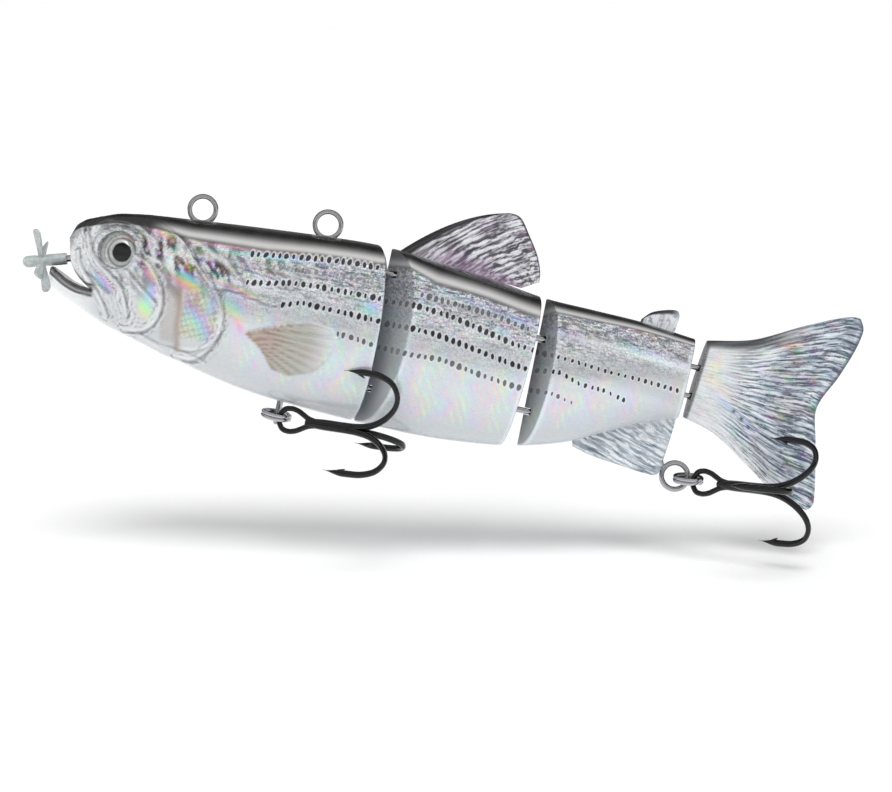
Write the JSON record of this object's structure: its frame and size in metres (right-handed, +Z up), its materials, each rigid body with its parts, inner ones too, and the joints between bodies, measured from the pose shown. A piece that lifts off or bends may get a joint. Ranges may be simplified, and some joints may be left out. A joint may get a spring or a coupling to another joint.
{
  "type": "jointed swimbait",
  "caption": "Jointed fish-shaped fishing lure with a nose propeller, hinged body sections, tow eyes on its back and treble hooks on split rings.",
  "frame": {"origin": "centre of the front tow eye, on the lure's centre plane", "axes": "+X from nose to tail, +Z up through the back, so -Y is the fish's left side"},
  "size_m": [0.1288, 0.027, 0.0447],
  "materials": {
    "lure_skin": "glossy clear coat over holographic foil, dark back and pale belly",
    "tail_skin": "glossy silver-blue moulded fin with rays",
    "iris": "printed silver iris with a dark pupil",
    "eye_dome": "clear dome over the iris",
    "black_plastic": "black moulded plastic",
    "black_rubber": "black rubber",
    "motor_steel": "drawn steel can",
    "ivory_plastic": "ivory plastic",
    "cell_sleeve": "blue shrink sleeve",
    "board_green": "green circuit board",
    "lamp_red": "clear red lamp",
    "lead_red": "red insulated lead",
    "bright_wire": "bright nickel plated steel wire",
    "bright_ring": "bright nickel plated double-coil split ring",
    "ballast_iron": "plain ballast metal",
    "shaft_steel": "ground steel",
    "rotor_copper": "varnished copper winding",
    "clear_plastic": "translucent grey-green moulded plastic",
    "hook_nickel": "black nickel plated hook wire"
  },
  "bodies": {
    "head": {"head_shell_left": "lure_skin", "head_shell_right": "lure_skin", "eye_iris_left": "iris", "eye_iris_right": "iris", "eye_dome_left": "eye_dome", "eye_dome_right": "eye_dome", "shaft_bush": "black_plastic", "shaft_seal": "black_rubber", "motor_can": "motor_steel", "motor_end_cap": "ivory_plastic", "battery_cell": "cell_sleeve", "circuit_board": "board_green", "board_chips": "black_plastic", "indicator_lamp": "lamp_red", "motor_leads": "lead_red", "front_tow_eye": "bright_wire", "rear_tow_eye": "bright_wire", "belly_hanger": "bright_wire", "head_ballast": "ballast_iron", "front_joint_loops": "bright_wire"},
    "drive": {"propeller_shaft": "shaft_steel", "shaft_coupling": "black_rubber", "motor_rotor": "rotor_copper", "propeller": "clear_plastic", "propeller_cap": "clear_plastic"},
    "front_trunk": {"front_trunk_left": "lure_skin", "front_trunk_right": "lure_skin", "front_hinge_pin": "shaft_steel", "front_trunk_ballast": "ballast_iron", "middle_joint_loops": "bright_wire"},
    "rear_trunk": {"rear_trunk_left": "lure_skin", "rear_trunk_right": "lure_skin", "middle_hinge_pin": "shaft_steel", "rear_trunk_ballast": "ballast_iron", "tail_joint_loops": "bright_wire", "tail_hanger": "bright_wire"},
    "tail": {"tail_left": "tail_skin", "tail_right": "tail_skin", "tail_hinge_pin": "shaft_steel"},
    "belly_ring": {"belly_split_ring": "bright_ring"},
    "belly_hook": {"belly_treble": "hook_nickel"},
    "tail_ring": {"tail_split_ring": "bright_ring"},
    "tail_hook": {"tail_treble": "hook_nickel"}
  },
  "joints": [
    {"name": "propeller_spin", "type": "hinge", "parent": "head", "child": "drive", "pos_m": [-0.0178, 0, -0.0116], "axis": [-0.9563, 0, -0.2924], "continuous": true},
    {"name": "front_joint", "type": "hinge", "parent": "head", "child": "front_trunk", "pos_m": [0.0325, 0, -0.0125], "axis": [0, 0, 1], "range_deg": [-20, 20]},
    {"name": "middle_joint", "type": "hinge", "parent": "front_trunk", "child": "rear_trunk", "pos_m": [0.057, 0, -0.0135], "axis": [0, 0, 1], "range_deg": [-20, 20]},
    {"name": "tail_joint", "type": "hinge", "parent": "rear_trunk", "child": "tail", "pos_m": [0.0812, 0, -0.0093], "axis": [0, 0, 1], "range_deg": [-11, 11]},
    {"name": "belly_ring_swing", "type": "hinge", "parent": "head", "child": "belly_ring", "pos_m": [0.018, 0, -0.028], "axis": [1, 0, 0], "range_deg": [0, 45]},
    {"name": "belly_hook_swing", "type": "hinge", "parent": "belly_ring", "child": "belly_hook", "pos_m": [0.018, -0.00207, -0.02836], "axis": [0, 0.1736, -0.9848], "range_deg": [0, 70]},
    {"name": "tail_ring_swing", "type": "hinge", "parent": "rear_trunk", "child": "tail_ring", "pos_m": [0.08, 0, -0.0243], "axis": [0.5703, 0.785, 0.2419], "range_deg": [0, 70]},
    {"name": "tail_hook_swing", "type": "hinge", "parent": "tail_ring", "child": "tail_hook", "pos_m": [0.0817, -0.00123, -0.0243], "axis": [0.1422, 0.1957, -0.9703], "range_deg": [0, 35]}
  ]
}
